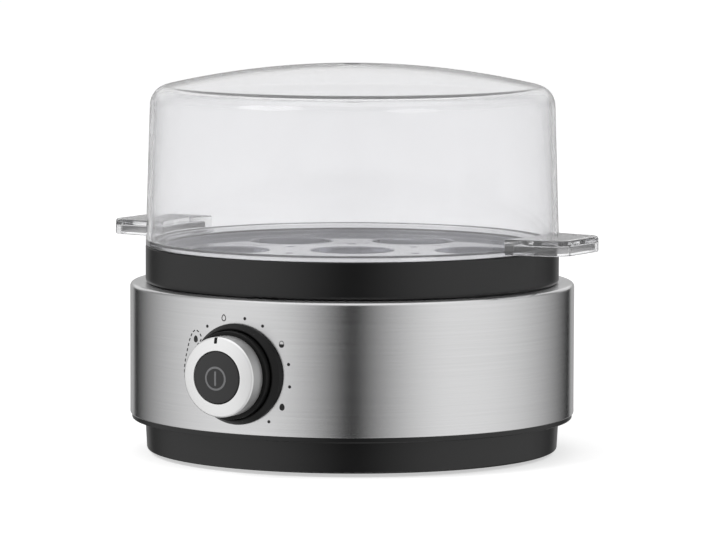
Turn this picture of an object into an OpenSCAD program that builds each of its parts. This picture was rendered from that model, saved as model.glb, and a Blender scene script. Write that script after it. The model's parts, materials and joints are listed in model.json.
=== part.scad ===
// Electric egg cooker: steel band on a black base, clear lid with two handles, knob with a push button.
// Millimetres, +Z up. The origin is on the body's axis at the level of the table. The knob faces -Y,
// the lid's handles lie along X and the mains cord enters at +Y.

/* [Steel band] */
// Outer diameter of the steel band
steel_d = 175; // [168:1:186]
// Sheet thickness of the steel band
steel_t = 0.8; // [0.5:0.1:1.2]
// Height of the steel band
steel_h = 51.3; // [49:0.5:64]
// Radius that turns the band's wall into its flat shoulder
shoulder_r = 1.5; // [1.5:0.5:4.5]

/* [Base] */
// How far the rubber feet stand out under the base
foot_h = 1.5; // [1:0.5:3]
// Diameter of a rubber foot
foot_d = 12; // [8:1:15]
// Height of the base tub under the steel band
base_h = 14.5; // [14:0.5:20]
// Wall thickness of the base tub
tub_t = 2.6; // [2:0.2:3]
// How far the tub's wall stands inside the steel band
base_inset = 5.9; // [5:0.1:7.5]
// Diameter of the mains cord that the bush takes
cord_d = 6.5; // [5.5:0.1:7]
// How far the cord bush stands out behind the steel band
bush_out = 15.7; // [8:0.1:20]

/* [Upper ring] */
// Height of the black ring above the steel band
ring_h = 14.7; // [13:0.1:18]
// How far the ring stands inside the steel band
ring_inset = 6.1; // [5.5:0.1:7.5]
// Wall thickness of the ring
ring_t = 3; // [2:0.1:3.2]

/* [Boiling pan] */
// Depth of the water dish
pan_depth = 13.8; // [11:0.1:15]
// Sheet thickness of the dish
pan_t = 1.2; // [0.8:0.1:1.5]
// Thickness of the silicone seal under the dish's rim
seal_t = 1; // [0.8:0.1:1.5]
// Tube diameter of the heating element
element_d = 6.5; // [5:0.1:8]
// Radius of the heating element's ring
element_r = 42; // [36:0.5:46]

/* [Egg tray] */
// Diameter of an egg socket
egg_hole_d = 33; // [30:0.5:36]
// Number of egg sockets round the middle one
egg_count = 6; // [5:1:6]
// Plate thickness of the tray
tray_t = 1.8; // [1.4:0.1:2.2]

/* [Lid] */
// Wall thickness of the lid
lid_t = 2.2; // [1.8:0.1:2.6]
// Height of the lid from its rim to its highest point
lid_h = 71; // [64:0.5:80]
// Draft of the lid's wall in degrees
lid_draft = 1.8; // [0.5:0.1:2]
// Radius of the lid's shoulder
lid_fillet = 8.1; // [6:0.1:12]
// Radius of the lid's shallow dome
dome_r = 327; // [260:1:400]
// Diameter of the steam vent
vent_d = 8; // [6:0.5:10]
// How far a handle reaches out from the lid's wall
handle_out = 21.4; // [16:0.1:24]
// Width of a handle where it meets the lid
handle_root_w = 40; // [36:1:46]
// Width of a handle at its outer edge
handle_tip_w = 33; // [26:1:34]
// Height of a handle
handle_h = 6; // [5:0.1:6]

/* [Knob and button] */
// Height of the knob's axis above the lower edge of the steel band
knob_up = 23; // [21.5:0.5:24]
// Diameter of the silver knob cap
cap_d = 30.5; // [29.5:0.1:31.5]
// Depth of the silver knob cap
cap_h = 7.2; // [6:0.1:8]
// Radius of the sphere that the faces of knob and button lie on
face_dome_r = 48; // [40:1:90]
// Diameter of the black skirt behind the cap
skirt_d = 33.6; // [33:0.1:34.2]
// Outer diameter of the bezel round the knob
bezel_d = 38.6; // [38:0.1:42]
// Diameter of the power button
button_d = 19.6; // [19:0.1:20]
// Travel of the power button
button_travel = 2; // [1:0.1:2.2]
// Where the knob's mark points at rest, in degrees clockwise from the top
pointer_rest = -4; // [-56:2:140]

/* [Hidden] */
$fn = 96;
cut = 0.5;

// Clearances
seat_gap = 0.1;
slip_gap = 0.05;
run_gap = 0.08;
free_gap = 0.4;

// Radii of the nested shells
body_r = steel_d / 2;
band_ri = body_r - steel_t;
tub_draft = 0.7;
tub_r = body_r - base_inset;
tub_ri = tub_r - tub_draft - tub_t;
flange_r = body_r - 0.7;
flange_t = 2.1;
upstand_ro = band_ri - 0.25;
upstand_ri = upstand_ro - 2.2;
ring_r = body_r - ring_inset;
bore_r = ring_r - ring_t;
band_open_r = bore_r + 0.5;
spigot_ro = band_open_r - 0.3;
spigot_ri = spigot_ro - 2.2;
lip_ro = bore_r - free_gap;
lip_ri = lip_ro - 1.8;
ledge_w = 9;
ledge_t = 2.4;
pan_ri = bore_r - ledge_w - pan_t;
pan_ro = pan_ri + pan_t;
ledge_ri = pan_ro + 1;
pan_flange_r = bore_r - 0.5;
pan_corner_r = 4;
tray_r = lip_ri - free_gap;

// Heights
tub_floor_t = 2.5;
z_base = foot_h;
z_floor = z_base + tub_floor_t;
z_band = z_base + base_h;
z_flange = z_band - flange_t;
z_shoulder = z_band + steel_h;
z_rim = z_shoulder + ring_h;
ledge_depth = 6.4;
z_ledge = z_rim - ledge_depth;
z_pan = z_ledge + seal_t + pan_t;
z_dish = z_pan - pan_depth;
z_pan_under = z_dish - pan_t;
spreader_t = 1.5;
z_spreader = z_pan_under - spreader_t;
upstand_h = 2.5;
spigot_h = 3.5;
ring_land_h = 2.5;

// Feet, tie screws and the base's floor
foot_in = 1.2;
foot_circle_r = tub_r - tub_draft - 15 - foot_d / 2;
foot_angles = [0, 90, 180, 270];
tie_angles = [45, 135, 225, 315];
tie_r = pan_ri - 8;
tie_shank_r = 2;
tie_head_r = 3.8;
tie_head_h = 2.4;
tie_seat = 3.6;
tie_boss_r = 6;
tie_boss_h = 12;
lug_r = 4.5;
lug_h = 10;
tie_grip = 8;
vent_slot_w = 2.6;
vent_slot_l = 20;

// Heating parts under the dish
spreader_r = tie_r - lug_r - 0.7;
spreader_hole_r = 13;
element_gap_a = 60;
element_drop = 12;
z_element = z_spreader - element_d / 2 - 0.1;
blade_w = 6.3;
blade_t = 0.8;
blade_l = 8;
bead_r = element_d / 2 + 0.7;
bead_h = 2.5;
thermo_r = 7.8;
thermo_flange_r = 9.6;
thermo_flange_h = 1.4;
thermo_cap_h = 2.4;
thermo_body_h = 9;
thermo_blade_x = 4;
z_thermo_flange = z_pan_under - thermo_cap_h - thermo_flange_h;
strap_t = 1;
strap_w = 11;
strap_foot = 8;
strap_half = spreader_hole_r + 1 + strap_foot;
clip_hole_x = strap_half - strap_foot / 2;
clip_screw_r = 1.4;
clip_head_r = 2.6;
clip_head_h = 1.8;
fuse_r = 2;
fuse_l = 12;
fuse_y = -27;
fuse_lead_r = 0.6;
fuse_lead_l = 9;
fuse_foot_y = fuse_y + fuse_r + strap_t + 4;
earth_x = -20;
earth_y = 22;

// Control group, measured outwards along the knob's axis from the steel's surface
knob_z = z_band + knob_up;
carrier_front = -7.5;
carrier_t = 2.4;
carrier_back = carrier_front - carrier_t;
carrier_half_w = 25;
carrier_half_h = 20;
sleeve_ri = 8.68;
sleeve_ro = 10.2;
shaft_ri = sleeve_ro + run_gap;
shaft_ro = 11.8;
bezel_bore_r = skirt_d / 2 + free_gap;
bezel_r = bezel_d / 2;
bezel_spigot_ro = bezel_r - 1;
bezel_spigot_ri = 14.2;
bezel_step = 0.8;
bezel_rise = 3.3;
skirt_r = skirt_d / 2;
skirt_back = 3.2;
skirt_front = 6.3;
cap_r = cap_d / 2;
cap_t = 1.5;
cap_edge = 0.5;
cap_front = skirt_front + cap_h;
cap_open_r = button_d / 2 + 0.35;
collar_ro = cap_r - cap_t - slip_gap;
collar_ri = collar_ro - 1.3;
hub_front = 5.6;
circlip_back = hub_front + 0.35;
circlip_t = 0.7;
circlip_ro = 11.9;
groove_r = 9.6;
sleeve_front = 7;
rotor_front = -4.6;
rotor_back = -6.1;
rotor_r = 13.6;
stator_ri = 11;
stator_ro = 13.9;
stator_t = 1;
mark_w = 1.3;
mark_l = 2.4;
mark_depth = 0.4;
detent_pitch = 22;
button_r = button_d / 2;
button_set = 0.1;
button_edge = 0.3;
button_back = sleeve_front + 0.3 + button_travel;
guide_r = sleeve_ri - run_gap;
guide_ri = guide_r - 2;
guide_end = 0;
boss_r = 3.6;
boss_end = button_back - 4.3;
stem_r = 2;
plunger_front = carrier_back + 0.3;
stem_end = plunger_front + 0.3 + button_travel;
stem_hole_r = 2.4;
spring_mean_r = 5.2;
spring_wire_d = 0.7;
spring_turns = 7;

// Control board and its parts
standoff_l = 4;
standoff_r = 3.2;
board_front = carrier_back - standoff_l;
board_t = 1.6;
board_back = board_front - board_t;
board_half_w = 24;
board_half_h = 17.5;
board_hole_x = 20.5;
board_hole_y = 14;
m3_r = 1.5;
m3_pilot_r = 1.3;
m3_head_r = 2.8;
m3_head_h = 2;
bezel_screw_r = 16.2;
bezel_screw_angles = [30, 150, 270];
bezel_screw_l = 6;
lug_x = 20;
lug_in = 21.5;
lug_half_w = 5;
lug_t = 3;
lug_top = knob_z - carrier_half_h + 1;
lug_bottom = lug_top - lug_t;
carrier_post_r = 4;
carrier_screw_l = 9;
tact_w = 6.2;
tact_h = 3.4;
relay_size = [19, 15.5, 15.5];
connector_x = 10;
connector_y = 12.8;
connector_size = [12, 6, 9];
connector_pitch = 6;

// Mains entry
cord_r = cord_d / 2;
bush_r = cord_r + 1.35;
bush_tip_r = cord_r + 0.75;
bush_flange_r = bush_r + 1;
z_cord = z_floor + bush_flange_r + 0.15;
bush_flange_t = 2;
pad_face = tub_ri - 0.8;
bush_in = 3;
clamp_y = pad_face - bush_flange_t - bush_in - 6;
clamp_post_x = cord_r + 6.2;
clamp_post_r = 3.5;
clamp_half_w = 4;
clamp_top = z_cord + cord_r + 3;
clamp_bottom = z_cord + 0.4;
block_x = 0;
block_y = 44;
block_size = [30, 15, 13];
block_pitch = 9;
block_well_r = 2.6;
block_well_h = 4;
lead_r = 1.1;

// Shared shapes

// Puts its children in the frame of the knob: x to the right and y up as seen from the front, z outwards
module on_knob_axis() {
    translate([0, -body_r, knob_z]) rotate([90, 0, 0]) children();
}

// Repeats its children round the body's axis at radius r
module around(angles, r) {
    for (a = angles) rotate(a) translate([r, 0, 0]) children();
}

// Upright cylinder between two heights
module post(r, z0, z1) {
    translate([0, 0, z0]) cylinder(r = r, h = z1 - z0);
}

// Ring with a rectangular section between two heights
module band(ro, ri, z0, z1) {
    difference() {
        post(ro, z0, z1);
        post(ri, z0 - cut, z1 + cut);
    }
}

// Block from its lowest to its highest corner
module block(p0, p1) {
    translate(p0) cube(p1 - p0);
}

// Rectangle in a turned profile
module section(r0, r1, z0, z1) {
    translate([r0, z0]) square([r1 - r0, z1 - z0]);
}

// Waste outside the round of a convex corner p, where sr and sz point out of the profile
module corner_waste(p, r, sr, sz) {
    c = p - r * [sr, sz];
    q = p + cut * [sr, sz];
    difference() {
        translate([min(c[0], q[0]), min(c[1], q[1])]) square(r + cut);
        translate(c) circle(r);
    }
}

// Screw with a flat head whose bearing face is at z = 0 and whose shank points up
module screw(shank_r, shank_l, head_r, head_h) {
    union() {
        translate([0, 0, -head_h / 4]) cylinder(r = shank_r, h = shank_l + head_h / 4);
        translate([0, 0, -head_h]) cylinder(r = head_r, h = head_h);
    }
}

// Cross-headed screw drive, cut from below into a head of height head_h
module cross_drive(head_h, w) {
    for (a = [0, 90]) rotate(a) block([-w, -w / 5, -head_h - cut], [w, w / 5, -head_h + head_h / 2]);
}

module cross_screw(shank_r, shank_l, head_r, head_h) {
    difference() {
        screw(shank_r, shank_l, head_r, head_h);
        cross_drive(head_h, head_r * 0.6);
    }
}

// Insulated lead through a list of points
module lead(points) {
    for (i = [0 : len(points) - 2]) {
        v = points[i + 1] - points[i];
        translate(points[i]) rotate([0, acos(v[2] / norm(v)), atan2(v[1], v[0])])
            cylinder(r = lead_r, h = norm(v), $fn = 32);
        if (i > 0) translate(points[i]) sphere(r = lead_r * 1.06, $fn = 32);
    }
}

// Points of a round of radius r at the corner b of the outline a, b, c
function unit(v) = v / norm(v);
function round_points(a, b, c, r, n = 8) =
    let (u = unit(a - b), v = unit(c - b), half = acos(u * v) / 2)
    let (o = b + unit(u + v) * r / sin(half), p = b + u * r / tan(half) - o, q = b + v * r / tan(half) - o)
    let (a0 = atan2(p[1], p[0]), sweep = (atan2(q[1], q[0]) - a0 + 540) % 360 - 180)
    [for (i = [0 : n]) o + r * [cos(a0 + sweep * i / n), sin(a0 + sweep * i / n)]];

// Base

module base_tub() {
    color([0.13, 0.13, 0.13]) difference() {
        union() {
            rotate_extrude() difference() {
                union() {
                    polygon([[0, z_base], [tub_r - tub_draft, z_base], [tub_r, z_flange],
                        [tub_r, z_band], [0, z_band]]);
                    section(tub_r - 1, flange_r, z_flange, z_band);
                    section(upstand_ri, upstand_ro, z_band - 1, z_band + upstand_h);
                }
                section(-cut, tub_ri, z_floor, z_band + upstand_h + cut);
                corner_waste([tub_r - tub_draft, z_base], 0.8, 1, -1);
                corner_waste([flange_r, z_flange], 0.4, 1, -1);
            }
            around(tie_angles, tie_r) post(tie_boss_r, z_base, z_base + tie_boss_h);
            for (sx = [-1, 1]) {
                translate([sx * lug_x, -body_r + lug_in, 0]) post(carrier_post_r, z_base, lug_bottom);
                translate([sx * clamp_post_x, clamp_y, 0]) post(clamp_post_r, z_base, clamp_bottom);
            }
            block([-bush_flange_r - 2, pad_face, z_base + 1], [bush_flange_r + 2, tub_ri + 1, z_band]);
        }
        around(tie_angles, tie_r) {
            post(tie_shank_r + 0.2, z_base - cut, z_base + tie_boss_h + cut);
            post(tie_head_r + 0.4, z_base - cut, z_base + tie_seat);
        }
        around(foot_angles, foot_circle_r) post(foot_d / 2 + slip_gap, z_base - cut, z_base + foot_in);
        for (sx = [-1, 1]) {
            translate([sx * lug_x, -body_r + lug_in, 0])
                post(m3_pilot_r + slip_gap, lug_top - carrier_screw_l - 1, lug_bottom + cut);
            translate([sx * clamp_post_x, clamp_y, 0])
                post(m3_pilot_r + slip_gap, z_base + 1.2, clamp_bottom + cut);
        }
        translate([0, tub_ri - 6, z_cord]) rotate([-90, 0, 0]) cylinder(r = bush_r + slip_gap, h = 30);
        around([15 : 30 : 345], 14)
            block([0, -vent_slot_w / 2, z_base - cut], [vent_slot_l, vent_slot_w / 2, z_floor + cut]);
    }
}

module rubber_feet() {
    color([0.08, 0.08, 0.08]) around(foot_angles, foot_circle_r) post(foot_d / 2, 0, z_base + foot_in);
}

module tie_screws() {
    color([0.7, 0.7, 0.72]) around(tie_angles, tie_r) translate([0, 0, z_base + tie_seat])
        cross_screw(tie_shank_r, z_pan_under - lug_h + tie_grip - z_base - tie_seat,
            tie_head_r, tie_head_h);
}

// Shells above the base

module steel_band() {
    color([0.78, 0.78, 0.79]) difference() {
        rotate_extrude() {
            section(band_ri, body_r, z_band, z_shoulder - shoulder_r);
            section(band_open_r, body_r - shoulder_r, z_shoulder - steel_t, z_shoulder);
            intersection() {
                translate([body_r - shoulder_r, z_shoulder - shoulder_r]) difference() {
                    circle(shoulder_r);
                    circle(shoulder_r - steel_t);
                }
                section(body_r - shoulder_r, body_r, z_shoulder - shoulder_r, z_shoulder);
            }
        }
        on_knob_axis() post(bezel_spigot_ro + 0.2, -20, 10);
    }
}

module upper_ring() {
    color([0.14, 0.14, 0.14]) rotate_extrude() difference() {
        union() {
            section(bore_r, ring_r, z_shoulder, z_rim);
            section(ledge_ri, ring_r - 1, z_ledge - ledge_t, z_ledge);
            section(spigot_ri, spigot_ro, z_shoulder - spigot_h, z_shoulder + ring_land_h);
            section(spigot_ri, ring_r, z_shoulder, z_shoulder + ring_land_h);
        }
        corner_waste([ring_r, z_shoulder], 1.5, 1, -1);
        corner_waste([ring_r, z_rim], 0.6, 1, 1);
    }
}

// Places of the screws that hold the straps and the earth tag up against the dish
module at_clip_screws() {
    around([0, 180], clip_hole_x) children();
    translate([0, fuse_foot_y, 0]) children();
    translate([earth_x, earth_y, 0]) children();
}

// Hole for a clip screw through a strap
module clip_hole() {
    post(clip_screw_r + slip_gap, z_spreader - strap_t - cut, z_spreader + cut);
}

module boiling_pan() {
    color([0.6, 0.61, 0.62]) difference() {
        union() {
            rotate_extrude() difference() {
                union() {
                    section(0, pan_ro, z_pan_under, z_pan);
                    section(pan_ri, pan_flange_r, z_pan - pan_t, z_pan);
                }
                difference() {
                    section(-cut, pan_ri, z_dish, z_pan + cut);
                    corner_waste([pan_ri, z_dish], pan_corner_r, 1, -1);
                }
                corner_waste([pan_ro, z_pan_under], pan_corner_r + pan_t, 1, -1);
            }
            around(tie_angles, tie_r) post(lug_r, z_pan_under - lug_h, z_pan_under + 0.2);
        }
        around(tie_angles, tie_r)
            post(tie_shank_r + slip_gap, z_pan_under - lug_h - cut, z_pan_under - lug_h + tie_grip + 0.5);
        at_clip_screws() post(clip_screw_r + slip_gap, z_pan_under - cut, z_pan_under + 0.8);
    }
}

module pan_seal() {
    color([0.75, 0.72, 0.7]) band(pan_flange_r - 0.4, ledge_ri, z_ledge, z_ledge + seal_t);
}

// Heating parts under the dish

module heat_spreader() {
    color([0.72, 0.73, 0.74]) difference() {
        band(spreader_r, spreader_hole_r, z_spreader, z_pan_under);
        at_clip_screws() post(clip_screw_r + slip_gap, z_spreader - cut, z_pan_under + cut);
    }
}

element_ends = [90 + element_gap_a / 2, 90 - element_gap_a / 2];

module heating_element() {
    color([0.45, 0.44, 0.43]) union() {
        translate([0, 0, z_element]) rotate(element_ends[0])
            rotate_extrude(angle = 360 - element_gap_a) translate([element_r, 0]) circle(d = element_d);
        around(element_ends, element_r) {
            post(element_d / 2 * 0.98, z_element - element_drop, z_element);
            translate([0, 0, z_element]) sphere(d = element_d * 1.02);
        }
    }
}

z_bead = z_element - element_drop - bead_h;
z_blade = z_bead - blade_l;

module element_terminals() {
    color([0.9, 0.88, 0.84]) around(element_ends, element_r) {
        post(bead_r, z_bead, z_bead + bead_h);
        block([-blade_t / 2, -blade_w / 2, z_blade], [blade_t / 2, blade_w / 2, z_bead + 0.01]);
    }
}

z_thermo = z_thermo_flange - thermo_body_h;

module thermostat() {
    color([0.2, 0.17, 0.15]) union() {
        post(thermo_r, z_thermo, z_thermo_flange + 0.01);
        post(thermo_flange_r, z_thermo_flange, z_thermo_flange + thermo_flange_h);
        post(thermo_r, z_thermo_flange + thermo_flange_h - 0.01, z_pan_under);
        for (sx = [-1, 1])
            block([sx * thermo_blade_x - blade_t / 2, -blade_w / 2, z_thermo - blade_l],
                [sx * thermo_blade_x + blade_t / 2, blade_w / 2, z_thermo + 0.01]);
    }
}

// Hat-shaped strap that holds the thermostat's flange up against the dish
module thermostat_strap() {
    leg = strap_half - strap_foot;
    color([0.75, 0.75, 0.76]) difference() {
        union() {
            block([-leg, -strap_w, z_thermo_flange - strap_t], [leg, strap_w, z_thermo_flange]);
            for (sx = [-1, 1]) {
                block([min(sx * leg, sx * (leg - strap_t)), -strap_w, z_thermo_flange - strap_t],
                    [max(sx * leg, sx * (leg - strap_t)), strap_w, z_spreader]);
                block([min(sx * (leg - strap_t), sx * strap_half), -strap_w, z_spreader - strap_t],
                    [max(sx * (leg - strap_t), sx * strap_half), strap_w, z_spreader]);
            }
        }
        post(thermo_r + 0.1, z_thermo_flange - strap_t - cut, z_spreader);
        at_clip_screws() clip_hole();
    }
}

z_fuse = z_spreader - fuse_r - slip_gap;

module thermal_fuse() {
    color([0.85, 0.83, 0.8]) translate([0, fuse_y, z_fuse]) rotate([0, 90, 0]) union() {
        translate([0, 0, -fuse_l / 2]) cylinder(r = fuse_r, h = fuse_l);
        translate([0, 0, -fuse_l / 2 - fuse_lead_l])
            cylinder(r = fuse_lead_r, h = fuse_l + 2 * fuse_lead_l);
    }
}

// Strap that goes under the fuse and is screwed to the spreader on one side
module fuse_strap() {
    reach = fuse_r + slip_gap;
    half_w = 3;
    color([0.75, 0.75, 0.76]) difference() {
        union() {
            block([-half_w, fuse_y - reach - strap_t, z_fuse - reach - strap_t],
                [half_w, fuse_y + reach + strap_t, z_spreader]);
            block([-half_w, fuse_y + reach, z_spreader - strap_t],
                [half_w, fuse_foot_y + 3.5, z_spreader]);
        }
        block([-half_w - cut, fuse_y - reach, z_fuse - reach],
            [half_w + cut, fuse_y + reach, z_spreader + cut]);
        at_clip_screws() clip_hole();
    }
}

// Tag for the earth lead, screwed to the spreader, with its blade turned down
module earth_tag() {
    color([0.8, 0.7, 0.4]) difference() {
        union() {
            block([earth_x - 4, earth_y - 4, z_spreader - strap_t], [earth_x + 8, earth_y + 4, z_spreader]);
            block([earth_x + 8 - strap_t, earth_y - blade_w / 2, z_spreader - strap_t - blade_l],
                [earth_x + 8, earth_y + blade_w / 2, z_spreader]);
        }
        at_clip_screws() clip_hole();
    }
}

module strap_screws() {
    l = strap_t + spreader_t + 0.6;
    color([0.7, 0.7, 0.72]) at_clip_screws() translate([0, 0, z_spreader - strap_t])
        screw(clip_screw_r, l, clip_head_r, clip_head_h);
}

// Knob, button and what they turn and press

module knob_bezel() {
    color([0.17, 0.17, 0.17]) difference() {
        union() {
            difference() {
                on_knob_axis() rotate_extrude() polygon([[bezel_bore_r, -6], [bezel_r, -6], [bezel_r, 0.9],
                    [bezel_bore_r + 0.5, bezel_rise], [bezel_bore_r, bezel_rise]]);
                post(body_r + slip_gap, z_band, z_shoulder);
            }
            on_knob_axis() band(bezel_spigot_ro, bezel_spigot_ri, carrier_front, bezel_step);
            on_knob_axis() band(bezel_spigot_ro, bezel_bore_r, bezel_step - 1, bezel_step + 1.2);
        }
        on_knob_axis() around(bezel_screw_angles, bezel_screw_r)
            post(m3_pilot_r + slip_gap, carrier_front - cut, carrier_front + bezel_screw_l);
    }
}

module bezel_screws() {
    color([0.7, 0.7, 0.72]) on_knob_axis() around(bezel_screw_angles, bezel_screw_r)
        translate([0, 0, carrier_back]) screw(m3_pilot_r, carrier_t + bezel_screw_l - 0.5, 2.3, 1.6);
}

module control_carrier() {
    color([0.2, 0.2, 0.21]) difference() {
        union() {
            on_knob_axis() {
                block([-carrier_half_w, -carrier_half_h, carrier_back],
                    [carrier_half_w, carrier_half_h, carrier_front]);
                post(sleeve_ro, carrier_back, sleeve_front);
                for (sx = [-1, 1], sy = [-1, 1]) translate([sx * board_hole_x, sy * board_hole_y, 0])
                    post(standoff_r, board_front, carrier_back + 0.1);
            }
            for (sx = [-1, 1])
                block([sx * lug_x - lug_half_w, -body_r - carrier_back - 0.1, lug_bottom],
                    [sx * lug_x + lug_half_w, -body_r + lug_in + lug_half_w, lug_top]);
        }
        on_knob_axis() {
            post(sleeve_ri, carrier_front, sleeve_front + cut);
            post(stem_hole_r, carrier_back - cut, carrier_front + cut);
            band(sleeve_ro + 1, groove_r, circlip_back - 0.05, circlip_back + circlip_t + 0.05);
            for (sx = [-1, 1], sy = [-1, 1]) translate([sx * board_hole_x, sy * board_hole_y, 0])
                post(m3_pilot_r + slip_gap, board_front - cut, carrier_front + cut);
            around(bezel_screw_angles, bezel_screw_r) post(m3_r, carrier_back - cut, carrier_front + cut);
        }
        for (sx = [-1, 1]) translate([sx * lug_x, -body_r + lug_in, 0])
            post(m3_r, lug_bottom - cut, lug_top + cut);
    }
}

module carrier_screws() {
    color([0.7, 0.7, 0.72]) for (sx = [-1, 1]) translate([sx * lug_x, -body_r + lug_in, lug_top])
        rotate([180, 0, 0]) cross_screw(m3_pilot_r, carrier_screw_l, m3_head_r, m3_head_h);
}

module knob_circlip() {
    color([0.65, 0.65, 0.67]) on_knob_axis() difference() {
        band(circlip_ro, groove_r + slip_gap, circlip_back, circlip_back + circlip_t);
        block([-2, -circlip_ro - cut, circlip_back - cut], [2, 0, circlip_back + circlip_t + cut]);
    }
}

module encoder_stator() {
    color([0.1, 0.35, 0.2]) on_knob_axis()
        band(stator_ro, stator_ri, carrier_front, carrier_front + stator_t);
}

// The faces of cap and button lie on one sphere through the inner edge of the cap's chamfer
face_z = cap_front - sqrt(pow(face_dome_r, 2) - pow(cap_r - cap_edge, 2));
face_top = face_z + face_dome_r + 1;
function face_h(r, inset) = face_z + sqrt(pow(face_dome_r - inset, 2) - r * r);

// Turned profile from the axis out to r, from z0 up to the domed face, which is lowered by inset
module under_face(r, z0, inset) {
    intersection() {
        section(0, r, z0, face_top);
        translate([0, face_z]) circle(face_dome_r - inset, $fn = 360);
    }
}

// Waste outside the chamfer of width e on the rim of a disc of radius r; the chamfer starts at height h
module chamfer_waste(r, h, e) {
    polygon([[r - e - 1, h + 1], [r + 1, h + 1], [r + 1, h - e - 1]]);
}

module cap_profile() {
    difference() {
        under_face(cap_r, skirt_front, 0);
        chamfer_waste(cap_r, cap_front, cap_edge);
    }
}

// Bar over the rim of the cap's face, grown by gap
module cap_mark(gap) {
    rotate(-pointer_rest) block([-mark_w / 2 - gap, cap_r - mark_l - gap, cap_front - mark_depth],
        [mark_w / 2 + gap, cap_r + cut, face_top]);
}

module knob_cap() {
    color([0.86, 0.86, 0.86]) on_knob_axis() difference() {
        rotate_extrude() difference() {
            cap_profile();
            section(-cut, cap_open_r, skirt_front - cut, face_top);
            under_face(cap_r - cap_t, skirt_front - cut, cap_t);
        }
        cap_mark(0.02);
    }
}

module knob_pointer() {
    color([0.1, 0.1, 0.1]) on_knob_axis() intersection() {
        cap_mark(0);
        rotate_extrude() cap_profile();
    }
}

module knob_skirt() {
    color([0.07, 0.07, 0.07]) on_knob_axis() rotate_extrude() difference() {
        union() {
            section(shaft_ri, shaft_ro, rotor_back, hub_front);
            section(shaft_ri, skirt_r, skirt_back, hub_front);
            section(collar_ri, skirt_r, hub_front - 0.1, skirt_front);
            section(collar_ri, collar_ro, skirt_front - 0.1, cap_front - cap_t - 0.5);
        }
        corner_waste([skirt_r, skirt_front], 0.5, 1, 1);
    }
}

// Detent wheel on the end of the knob's shaft, with a notch for each step of the dial
module encoder_rotor() {
    notch_r = 0.7;
    color([0.8, 0.75, 0.6]) on_knob_axis() difference() {
        band(rotor_r, shaft_ro + 0.02, rotor_back, rotor_front);
        around([0 : detent_pitch : 340], rotor_r) post(notch_r, rotor_back - cut, rotor_front + cut);
    }
}

module power_button() {
    color([0.2, 0.2, 0.2]) on_knob_axis() difference() {
        rotate_extrude() difference() {
            union() {
                under_face(button_r, button_back, button_set);
                section(guide_ri, guide_r, guide_end, button_back + 0.1);
                section(0, boss_r, boss_end, button_back + 0.1);
            }
            chamfer_waste(button_r, face_h(button_r - button_edge, button_set), button_edge);
        }
        post(stem_r + 0.02, boss_end - cut, button_back - 0.5);
    }
}

module button_stem() {
    color([0.85, 0.85, 0.83]) on_knob_axis() post(stem_r, stem_end, button_back - 0.5);
}

// Return spring round the stem, one wire from the carrier to the back of the button
spring_len = button_back - carrier_front - spring_wire_d - 0.1;
spring_pitch = spring_len / spring_turns;
spring_steps = 12;
spring_sides = 6;
spring_back = carrier_front + spring_wire_d / 2 + 0.05;
spring_path = [for (i = [0 : spring_turns * spring_steps])
    let (a = 360 * i / spring_steps, h = spring_back + spring_pitch * i / spring_steps)
    [spring_mean_r * cos(a), spring_mean_r * sin(a), h]];
spring_gap = min([for (i = [0 : len(spring_path) - 1 - spring_steps])
    norm(spring_path[i + spring_steps] - spring_path[i])]) - spring_wire_d;
echo(least_gap_in_button_spring = spring_gap);

module button_spring() {
    ring = [for (i = [0 : len(spring_path) - 1], k = [0 : spring_sides - 1])
        let (p = spring_path[i], u = unit([p[0], p[1], 0]), b = 360 * k / spring_sides)
        p + spring_wire_d / 2 * (cos(b) * u + [0, 0, sin(b)])];
    last = len(spring_path) - 1;
    sides = [for (i = [0 : last - 1], k = [0 : spring_sides - 1])
        let (k1 = (k + 1) % spring_sides, a = i * spring_sides, b = a + spring_sides)
        each [[a + k, b + k1, b + k], [a + k, a + k1, b + k1]]];
    ends = [for (k = [1 : spring_sides - 2]) each [[0, k + 1, k],
        [last * spring_sides, last * spring_sides + k, last * spring_sides + k + 1]]];
    color([0.7, 0.7, 0.72]) on_knob_axis() polyhedron(ring, concat(sides, ends));
}

// Control board and its parts

module control_board() {
    color([0.12, 0.4, 0.22]) on_knob_axis() difference() {
        block([-board_half_w, -board_half_h, board_back], [board_half_w, board_half_h, board_front]);
        for (sx = [-1, 1], sy = [-1, 1]) translate([sx * board_hole_x, sy * board_hole_y, 0])
            post(m3_r, board_back - cut, board_front + cut);
    }
}

module board_screws() {
    color([0.7, 0.7, 0.72]) on_knob_axis() for (sx = [-1, 1], sy = [-1, 1])
        translate([sx * board_hole_x, sy * board_hole_y, board_back])
            cross_screw(m3_pilot_r, board_t + standoff_l + 1, m3_head_r, m3_head_h);
}

module tact_switch() {
    color([0.1, 0.1, 0.1]) on_knob_axis() {
        block([-tact_w / 2, -tact_w / 2, board_front], [tact_w / 2, tact_w / 2, board_front + tact_h]);
        post(1.6, board_front + tact_h - 0.01, plunger_front);
    }
}

// Part of size [width, height, depth] on the back of the board, centred at x, y
module on_board(x, y, size) {
    on_knob_axis() block([x - size[0] / 2, y - size[1] / 2, board_back - size[2]],
        [x + size[0] / 2, y + size[1] / 2, board_back]);
}

module relay() {
    color([0.15, 0.3, 0.6]) on_board(-7, 4.5, relay_size);
}

module control_chip() {
    color([0.06, 0.06, 0.06]) on_board(-4, -9, [12, 7, 2]);
}

module board_connector() {
    color([0.92, 0.9, 0.85]) on_board(connector_x, connector_y, connector_size);
}

module capacitor() {
    color([0.15, 0.18, 0.35]) on_knob_axis() translate([16, 0, 0]) post(5, board_back - 13, board_back);
}

module buzzer() {
    color([0.08, 0.08, 0.08]) on_knob_axis() translate([11, -11, 0]) difference() {
        post(6, board_back - 8, board_back);
        post(1, board_back - 8 - cut, board_back - 6);
    }
}

// Mains entry

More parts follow.
